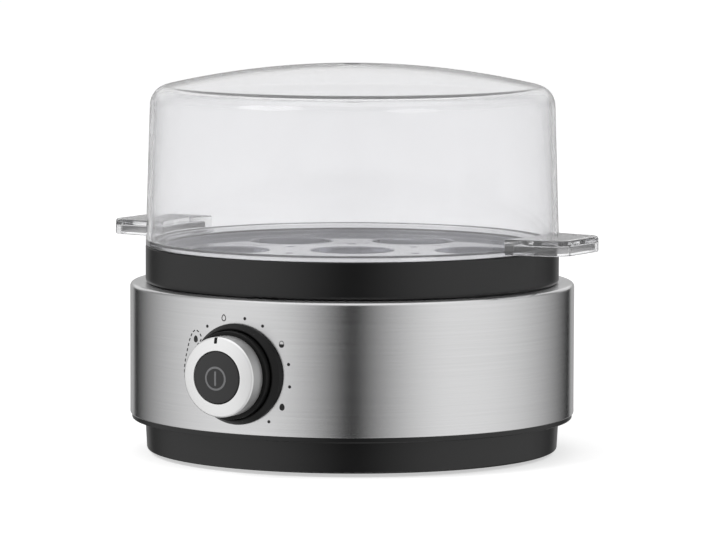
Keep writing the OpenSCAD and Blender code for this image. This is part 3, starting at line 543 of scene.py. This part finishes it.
def lid_handle():
    """Handle with rounded edges and a channel under it for the fingertips."""
    up, left, top_r, low_r, lip_r, roof_r = math.pi / 2, math.pi, 1.1, 0.45, 0.35, 0.7
    outside = arc((top_r, HANDLE_Z + HANDLE_H - top_r), top_r, up, left, 6)
    outside += arc((low_r, HANDLE_Z + low_r), low_r, left, left + up, 3)
    inside = arc((HANDLE_WALL - lip_r, HANDLE_Z + lip_r), lip_r, -up, 0, 3)
    inside.append((HANDLE_WALL, HANDLE_Z + 1.0))
    inside += arc((HANDLE_WALL + roof_r, HANDLE_Z + CHANNEL_H - roof_r), roof_r, left, up, 4)
    loops = [handle_loop(inset, HANDLE_ROOT_R, z) for inset, z in outside]
    return loops + [handle_loop(inset, LID_R + inset, z) for inset, z in inside]


def mark_shaded_channels(piece):
    """Marks the walls of the finger channels under the handles, which the lid's finish darkens as painted
    shade.
    """
    marks = piece.data.attributes.new("channel_shade", "FLOAT", "FACE")
    for face, mark in zip(piece.data.polygons, marks.data):
        at = face.center / MM
        inward = Vector((math.copysign(CHANNEL_X, at.x), 0, at.z)) - at
        outside_lid = math.hypot(at.x, at.y) > LID_R + 1.1
        wall = 0.9 < at.z - HANDLE_Z < CHANNEL_H - 0.3 and abs(face.normal.z) < 0.6
        mark.value = float(outside_lid and wall and inward.dot(face.normal) > 0)


def make_lid():
    """Shell of the lid with its two handles."""
    piece = solid("lid_moulding", turned(lid_profile(), 224))
    for turn in (0, math.pi):
        handle = stacked(lid_handle(), Matrix.Rotation(turn, 4, "Z"))
        cut_or_join(piece, solid("handle", handle), "UNION")
    smooth(piece)
    mark_shaded_channels(piece)
    dress(piece, "lid_clear", "lid_clear", "lid", "lid")


# Egg tray


def make_tray():
    """Plate with a rim bead, seven egg sockets with collars under them and twelve steam holes."""
    low, top, rim_r, bead_r, bead_z = 77.9, 79.7, 75.8, 74.2, 81.5
    plate = rounded([(0, low, 0), (rim_r, low, 0.5), (rim_r, bead_z, 0.6), (bead_r, bead_z, 0.6),
                     (bead_r, top, 0.4), (0, top, 0)])
    piece = solid("egg_tray_moulding", turned(plate, 160))
    sockets = [(0, 0)] + around(49, 90)
    steam = [place for pair in zip(around(28.4, 120), around(66.8, 120)) for place in pair]
    up, left, edge, mouth, collar_z = math.pi / 2, math.pi, 0.6, 17.1, 73.9
    collar = rounded([(16.2, low + edge, 0), (18.1, low + edge, 0), (18.1, collar_z, edge),
                      (16.2, collar_z, 0)])
    hole = [(0, 70), (mouth, 70), (mouth, collar_z)] + arc((mouth, collar_z + edge), edge, -up, -left, 4)
    hole += arc((mouth, top - edge), edge, left, up, 4) + [(mouth, 84), (0, 84)]
    small = [(0, 76), (1.8, 76), (1.8, top - 0.3)] + arc((2.1, top - 0.3), 0.3, left, up, 3)
    small += [(2.1, 84), (0, 84)]
    for profile, places, count, operation in ((collar, sockets, 72, "UNION"),
                                              (hole, sockets, 72, "DIFFERENCE"),
                                              (small, steam, 28, "DIFFERENCE")):
        tools = [turned(profile, count, Matrix.Translation((x * MM, y * MM, 0))) for x, y in places]
        cut_or_join(piece, solid("tool", joined(tools)), operation)
    smooth(piece)
    dress(piece, "tray_clear", "tray_clear", "egg_tray", "egg_tray")


# Knob, button and bezel


def on_surface(x, h):
    """Height in the knob frame, where a profile's heights from 0 to 0.5 are heights over the round band."""
    return h + math.sqrt(BAND_R ** 2 - x * x) - BAND_R if 0 <= h <= 0.5 else h


def make_bezel():
    """Sloped ring that stands on a neck, with an even shadow gap between its edge and the band."""
    neck, outer, bore, front, back = 18.3, 19.3, 17.2, 3.3, -7.5
    profile = rounded([(neck, 0.05, 0), (neck, 0.45, 0), (outer, 0.45, 0), (outer, 0.9, 0.15),
                       (17.75, front, 0.35), (bore, front, 0.2), (bore, 0.8, 0), (14.2, 0.8, 0.2),
                       (14.2, back, 0), (neck, back, 0)])
    piece = solid("knob_bezel_ring", turned(profile, 160, KNOB, on_surface))
    smooth(piece)
    dress(piece, "bezel_plastic", "bezel_plastic", "base", "knob_bezel")


def knob_face(r, inset=0.0):
    """Height of the domed face of knob and button in the knob frame."""
    return FACE_Z + math.sqrt((FACE_R - inset) ** 2 - r * r)


def cap_bar(grow):
    """Bar over the rim of the cap's face, for the pointer mark, in the knob frame."""
    w, r0, r1 = 0.65 + grow, 12.85 - grow, 15.6
    outline = rounded([(-w, r0, 0.3), (w, r0, 0.3), (w, r1, 0), (-w, r1, 0)], 30)
    return solid("bar", slab(outline, 13.1, 16.5, KNOB @ Matrix.Rotation(MARK_TURN, 4, "Z")))


def make_knob():
    """Cap with a bore for the button, and the mark let into its face."""
    bore, inner, back, thick = 10.15, 13.75, 6.3, 1.5
    rim = [(CAP_R, CAP_SIDE, 0.1), (EDGE_R, EDGE_H, 0.1)]
    face = [(r, knob_face(r), 0) for r in (14.2, 13.4, 12.6, 11.8, 11.0)]
    hollow = [(r, knob_face(r, thick), 0) for r in (11.0, 12.0, 13.0)]
    cap = [(CAP_R, back, 0.15), *rim, *face, (bore, knob_face(bore), 0.25),
           (bore, knob_face(bore, thick), 0.1), *hollow, (inner, knob_face(inner, thick), 0.3),
           (inner, back, 0.1)]
    piece = solid("knob_cap_shell", turned(rounded(cap), 180, KNOB))
    cut_or_join(piece, cap_bar(0.02), "DIFFERENCE")
    smooth(piece)
    dress(piece, "knob_silver", "knob_silver", "knob", "knob_cap")
    disc = [(0, 12.6, 0), (CAP_R, 12.6, 0), *rim, *face, (10.5, knob_face(10.5), 0), (0, knob_face(10.5), 0)]
    mark = solid("knob_mark", turned(rounded(disc), 180, KNOB))
    cut_or_join(mark, cap_bar(0), "INTERSECT")
    smooth(mark)
    dress(mark, "knob_black", "knob_black", "knob", "knob_pointer")


def button_face(r):
    """Height of the button's face, just behind that of the cap."""
    return knob_face(r, 0.1)


def make_button():
    """Button cap with a skirt that runs in the sleeve and a hub that holds the stem."""
    face = [(r, button_face(r)) for r in (0, 1.5, 3, 4.5, 6, 7.2, 8.2)]
    head, under, stem_r = 9.8, 9.3, 2.02
    body = rounded([(9.0, button_face(9.0), 0), (head, button_face(head), 0.35), (head, under, 0.2),
                    (8.6, under, 0), (8.6, 0, 0.2), (6.6, 0, 0.2), (6.6, under, 0), (3.6, under, 0),
                    (3.6, 5.0, 0.2), (stem_r, 5.0, 0), (stem_r, 8.8, 0), (0, 8.8, 0)])
    piece = solid("power_button_cap", turned(face + body, 140, KNOB))
    smooth(piece)
    dress(piece, "button_grey", "button_grey", "power_button", "power_button")


def make_spring():
    """Return spring of the button, one wire."""
    turns, steps, sides, mean, wire, seat, length = 7, 36, 10, 5.2, 0.35, -7.1, 16.0
    loops = []
    for i in range(turns * steps + 1):
        a = 2 * math.pi * i / steps
        out = Vector((math.cos(a), math.sin(a), 0))
        middle = mean * out + Vector((0, 0, seat + length * i / (turns * steps)))
        loops.append([(middle + wire * (math.cos(b) * out + Vector((0, 0, math.sin(b))))) * MM
                      for b in (2 * math.pi * k / sides for k in range(sides))])
    piece = solid("button_spring_wire", stacked(loops, KNOB))
    smooth(piece, 60)
    dress(piece, "spring_steel", "spring_steel", "base", "button_spring")
    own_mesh(piece)


# Print


def printed(loops, place, top=PRINT_TOP):
    """Thin closed layer of print. loops are one outline, or an outer and an inner one, and
    place(x, y, lift) sets a point of it."""
    bm = bmesh.new()
    rows = [[[bm.verts.new(place(x, y, lift)) for x, y in loop] for loop in loops] for lift in (-0.02, top)]
    count = len(loops[0])
    for loop in range(len(loops)):
        for k in range(count):
            n = (k + 1) % count
            bm.faces.new((rows[0][loop][k], rows[0][loop][n], rows[1][loop][n], rows[1][loop][k]))
    for row in rows:
        if len(loops) == 1:
            bm.faces.new(row[0])
        else:
            for k in range(count):
                n = (k + 1) % count
                bm.faces.new((row[0][k], row[0][n], row[1][n], row[1][k]))
    bmesh.ops.recalc_face_normals(bm, faces=bm.faces)
    return bm


def on_band(x, y, lift):
    """Point on the band, x and y measured from the knob's axis."""
    r = BAND_R + lift
    return Vector((x * MM, -math.sqrt(r * r - x * x) * MM, (KNOB_Z + y) * MM))


def on_button(x, y, lift):
    """Point on the button, whose sign sits a little low."""
    y -= 0.25
    return KNOB @ Vector((x * MM, y * MM, (button_face(math.hypot(x, y)) + lift) * MM))


def egg_line(scale, count=40, start=0.0, stop=2 * math.pi):
    """Egg outline 2 mm wide and 2.7 mm high, narrow end up."""
    points = []
    for k in range(count):
        t = start + (stop - start) * k / count
        points.append((scale * math.sin(t) * (1 - 0.14 * math.cos(t)), scale * 1.35 * math.cos(t)))
    return points


def make_dial_eggs():
    """Egg signs of the dial: filled, outlined, half filled and filled."""
    def shifted(line, at):
        return [(x + at[0], y + at[1]) for x, y in line]

    first, soft, half, hard = (-19.7, 12.1), (-5.9, 21.1), (18.6, 12.2), (18.8, -11.7)
    lower = egg_line(0.95, 24, math.pi / 2, 1.5 * math.pi) + [(-0.95, 0.0)]
    signs = [[shifted(egg_line(1.0), first)], [shifted(egg_line(1.0), hard)],
             [shifted(egg_line(1.0), soft), shifted(egg_line(0.7), soft)],
             [shifted(egg_line(1.0), half), shifted(egg_line(0.82), half)], [shifted(lower, half)]]
    piece = solid("dial_eggs", joined(printed(loops, on_band) for loops in signs))
    dress(piece, "dial_print", "knob_black", "base")


def make_power_sign():
    """Ring with an upright bar in it."""
    ring = [[(r * math.sin(2 * math.pi * k / 72), r * math.cos(2 * math.pi * k / 72)) for k in range(72)]
            for r in (4.55, 3.8)]
    low, top = -0.02, 0.03
    rows = [(0.2, -2.75), (0.35, -2.6), *((0.4, 0.8 * k) for k in range(-3, 4)), (0.35, 2.6), (0.2, 2.75)]
    bar = stacked([[on_button(-w, y, low), on_button(w, y, low), on_button(w, y, top), on_button(-w, y, top)]
                   for w, y in rows])
    piece = solid("power_sign", joined([printed(ring, on_button, top), bar]))
    dress(piece, "symbol_grey", "button_grey", "power_button")


def repeat_tree(name, along_path):
    """Geometry Nodes tree that sets a piece on each point, or at even steps along a path, upright or
    square to the band."""
    tree = bpy.data.node_groups.new(name, "GeometryNodeTree")
    face = tree.interface
    for label, kind in (("Geometry", "Geometry"), ("Piece", "Object"), ("Finish", "Material"),
                        ("Step", "Float"), ("Upright", "Bool")):
        face.new_socket(label, in_out="INPUT", socket_type="NodeSocket" + kind)
    face.new_socket("Geometry", in_out="OUTPUT", socket_type="NodeSocketGeometry")

    def add(kind, sockets=None, **settings):
        node = tree.nodes.new(kind)
        for key, value in settings.items():
            setattr(node, key, value)
        for key, value in (sockets or {}).items():
            if isinstance(value, bpy.types.NodeSocket):
                tree.links.new(value, node.inputs[key])
            else:
                node.inputs[key].default_value = value
        return node

    given = add("NodeGroupInput")
    out = add("NodeGroupOutput")
    points = given.outputs["Geometry"]
    outward = add("ShaderNodeVectorMath", {0: add("GeometryNodeInputPosition").outputs[0], 1: (1, 1, 0)},
                  operation="MULTIPLY").outputs[0]
    facing = add("ShaderNodeMix", {0: given.outputs["Upright"], 4: outward, 5: (0, 0, 1)},
                 data_type="VECTOR").outputs[1]
    turn = add("FunctionNodeAlignRotationToVector", {"Vector": facing}, axis="Z").outputs[0]
    if along_path:
        steps = add("GeometryNodeCurveToPoints", {"Curve": points, "Length": given.outputs["Step"]},
                    mode="LENGTH")
        points = steps.outputs["Points"]
        turn = add("FunctionNodeAlignRotationToVector",
                   {"Rotation": turn, "Vector": steps.outputs["Tangent"]},
                   axis="X", pivot_axis="Z").outputs[0]
    shape = add("GeometryNodeObjectInfo", {"Object": given.outputs["Piece"]})
    copies = add("GeometryNodeInstanceOnPoints",
                 {"Points": points, "Instance": shape.outputs["Geometry"], "Rotation": turn})
    real = add("GeometryNodeRealizeInstances", {"Geometry": copies.outputs[0]})
    done = add("GeometryNodeSetMaterial", {"Geometry": real.outputs[0], "Material": given.outputs["Finish"]})
    tree.links.new(done.outputs[0], out.inputs[0])
    return tree


def repeated(name, carrier, tree, unit, material, step=1.0, upright=False):
    """Plain mesh of the unit repeated over the carrier's points or path."""
    change = carrier.modifiers.new("repeat", "NODES")
    change.node_group = tree
    sockets = {s.name: s.identifier for s in tree.interface.items_tree if s.in_out == "INPUT"}
    change[sockets["Piece"]] = unit
    change[sockets["Finish"]] = FINISH[material]
    change[sockets["Step"]] = step * MM
    change[sockets["Upright"]] = upright
    graph = bpy.context.evaluated_depsgraph_get()
    mesh = bpy.data.meshes.new_from_object(carrier.evaluated_get(graph))
    mesh.name = name
    carrier.modifiers.clear()
    made = linked(name, mesh)
    bpy.data.objects.remove(carrier)
    bpy.data.objects.remove(unit)
    return made


def bare_points(name, places):
    """Carrier of single points in metres."""
    mesh = bpy.data.meshes.new(name)
    mesh.from_pydata(places, [], [])
    return linked(name, mesh)


def make_dial_dots(tree):
    """Dots of the dial."""
    places = ((-13.8, 17.4), (3.5, 21.3), (11.0, 18.8), (21.3, 4.6), (21.7, -3.9), (13.6, -17.5))
    points = bare_points("dial_points", [on_band(x, y, 0) for x, y in places])
    r = 0.62
    dot = rounded([(0, PRINT_LOW, 0), (r, PRINT_LOW, 0), (r, PRINT_TOP, 0.03), (0, PRINT_TOP, 0)], 45)
    piece = repeated("dial_dots", points, tree, solid("dot", turned(dot, 28)), "dial_print")
    dress(piece, "dial_print", "knob_black", "base")


def make_dial_dashes(tree):
    """Dashed loop round the first egg sign, with a tail that runs down beside the knob."""
    line = [(-18.6, 10.2), (-17.4, 11.4), (-16.9, 12.8), (-17.6, 14.3), (-19.3, 15.4), (-20.9, 14.9),
            (-22.1, 13.3), (-23.0, 11.4), (-23.8, 8.9), (-24.5, 6.6), (-25.1, 4.4), (-25.6, 2.1),
            (-25.8, -0.4), (-25.6, -2.8)]
    curve = bpy.data.curves.new("dash_path", "CURVE")
    curve.dimensions = "3D"
    path = curve.splines.new("BEZIER")
    path.bezier_points.add(len(line) - 1)
    for point, (x, y) in zip(path.bezier_points, line):
        point.co = on_band(x, y, 0)
        point.handle_left_type = point.handle_right_type = "AUTO"
    carrier = linked("dash_path", curve)
    x, y, r = 0.64, 0.23, 0.2
    outline = rounded([(-x, -y, r), (x, -y, r), (x, y, r), (-x, y, r)], 30)
    dash = solid("dash", slab(outline, PRINT_LOW, PRINT_TOP))
    piece = repeated("dial_dashes", carrier, tree, dash, "dial_print", step=2.0)
    dress(piece, "dial_print", "knob_black", "base")


def make_feet(tree):
    """Four rubber feet with a rounded edge and a shallow ring in the sole."""
    points = bare_points("foot_points", [(x * MM, y * MM, 0) for x, y in around(59.9, 0, 4)])
    r, top, groove = 6.0, 2.7, 0.25
    sole = rounded([(0, groove, 0), (2.6, groove, 0.2), (2.8, 0, 0.1), (r, 0, 0.6), (r, top, 0.2),
                    (0, top, 0)])
    foot = solid("foot", turned(sole, 56))
    piece = repeated("rubber_foot_set", points, tree, foot, "black_rubber", upright=True)
    smooth(piece)
    dress(piece, "black_rubber", "black_rubber", "base", "rubber_feet")


# Studio


def studio_world():
    """White behind the object. In reflections: a wide soft light on each side, one overhead, darkness
    behind the camera."""
    world = bpy.data.worlds.new("studio")
    bpy.context.scene.world = world
    world.use_nodes = True
    world.cycles.sampling_method = "NONE"
    g = Graph(world.node_tree)
    seen, gloss, through = g.rays()
    way = g.add("ShaderNodeTexCoord", out="Generated")
    x, y, z = g.part(way, 0), g.part(way, 1), g.part(way, 2)
    side = math.cos(CAMERA_TURN) * x + math.sin(CAMERA_TURN) * y
    back = math.sin(CAMERA_TURN) * x - math.cos(CAMERA_TURN) * y
    # Degrees to either side of the way from the object to the camera
    turn = abs(side.sum("ARCTAN2", side, back)) * (180 / math.pi)
    # The dark gap behind the camera, closed overhead
    gap = turn.ramp(2, 56) * (math.pi / 2)
    gap = gap.sum("SINE", gap)
    gap = gap.sum("MAXIMUM", gap, z.ramp(0.5, 0.8, "SMOOTHSTEP"))
    # The side lights fade towards the back, where a bright strip, a wall and the ceiling follow
    fall = turn.ramp(62, 150) * (math.pi / 2)
    low = 0.04 + 0.5 * through
    lights = (low + (0.9 - low) * gap) * fall.sum("COSINE", fall)
    mirror = lights + (0.42 + 0.58 * through) * (turn - 12 * through).ramp(152, 158, "SMOOTHSTEP")
    wall = 0.86 * turn.ramp(130, 155) * z.ramp(0.04, 0.2)
    ceiling = (1.15 - 0.15 * through) * z.ramp(0.6, 0.88, "SMOOTHSTEP")
    for more in (wall, ceiling, through * (0.78 + 0.22 * (0 - z).ramp(-0.02, 0.04))):
        mirror = mirror.sum("MAXIMUM", mirror, more)
    studio = gloss.sum("MAXIMUM", gloss, through)
    level = studio * mirror + (1 - studio) * (seen + (1 - seen) * 0.62)
    light = g.add("ShaderNodeBackground", {}, {"Color": (1, 1, 1, 1), "Strength": level})
    g.add("ShaderNodeOutputWorld", {}, {"Surface": light})


def studio_floor():
    """Pale strip of floor, in line with the camera, that shows white where no shadow falls."""
    bm = bmesh.new()
    strip = ((-0.34, -1.2), (0.34, -1.2), (0.34, 1.3), (0.62, 4.8), (-0.62, 4.8), (-0.34, 1.3))
    bm.faces.new([bm.verts.new((x, y, 0)) for x, y in strip])
    bm.transform(Matrix.Rotation(CAMERA_TURN, 4, "Z"))
    floor = solid("floor", bm)
    made = bpy.data.materials.new("floor_white")
    made.use_nodes = True
    g = Graph(made.node_tree)
    seen, gloss, through = g.rays()
    shown = seen.sum("MAXIMUM", seen, gloss.sum("MAXIMUM", gloss, through))
    cloth = g.add("ShaderNodeBsdfDiffuse", {}, {"Color": (0.8, 0.8, 0.8, 1)})
    glow = g.add("ShaderNodeEmission", {}, {"Color": (1, 1, 1, 1), "Strength": 0.52 * shown})
    both = g.add("ShaderNodeAddShader", {}, {0: cloth, 1: glow})
    g.add("ShaderNodeOutputMaterial", {}, {"Surface": both})
    floor.data.materials.append(made)
    floor.visible_glossy = False


def studio_lamp(name, place, aim, size, power):
    """Round soft lamp that no reflection shows."""
    lamp = bpy.data.lights.new(name, "AREA")
    lamp.shape = "DISK"
    lamp.size = size
    lamp.energy = power
    made = linked(name, lamp)
    made.location = place
    made.rotation_euler = (Vector(aim) - Vector(place)).to_track_quat("-Z", "Y").to_euler()
    made.visible_glossy = False


photo_camera()
make_band()
make_lid()
make_tray()
make_bezel()
make_knob()
make_button()
make_spring()
make_dial_eggs()
make_power_sign()
spot_tree, path_tree = repeat_tree("set_on_points", False), repeat_tree("set_along_path", True)
make_dial_dots(spot_tree)
make_dial_dashes(path_tree)
make_feet(spot_tree)
studio_world()
studio_floor()
studio_lamp("key_light", (-0.7, -1.3, 1.5), (0, 0, 0.06), 1.2, 16)
studio_lamp("fill_light", (1.5, -0.6, 1.2), (0, 0, 0.06), 1.0, 7)
bpy.context.scene.view_settings.view_transform = "Standard"
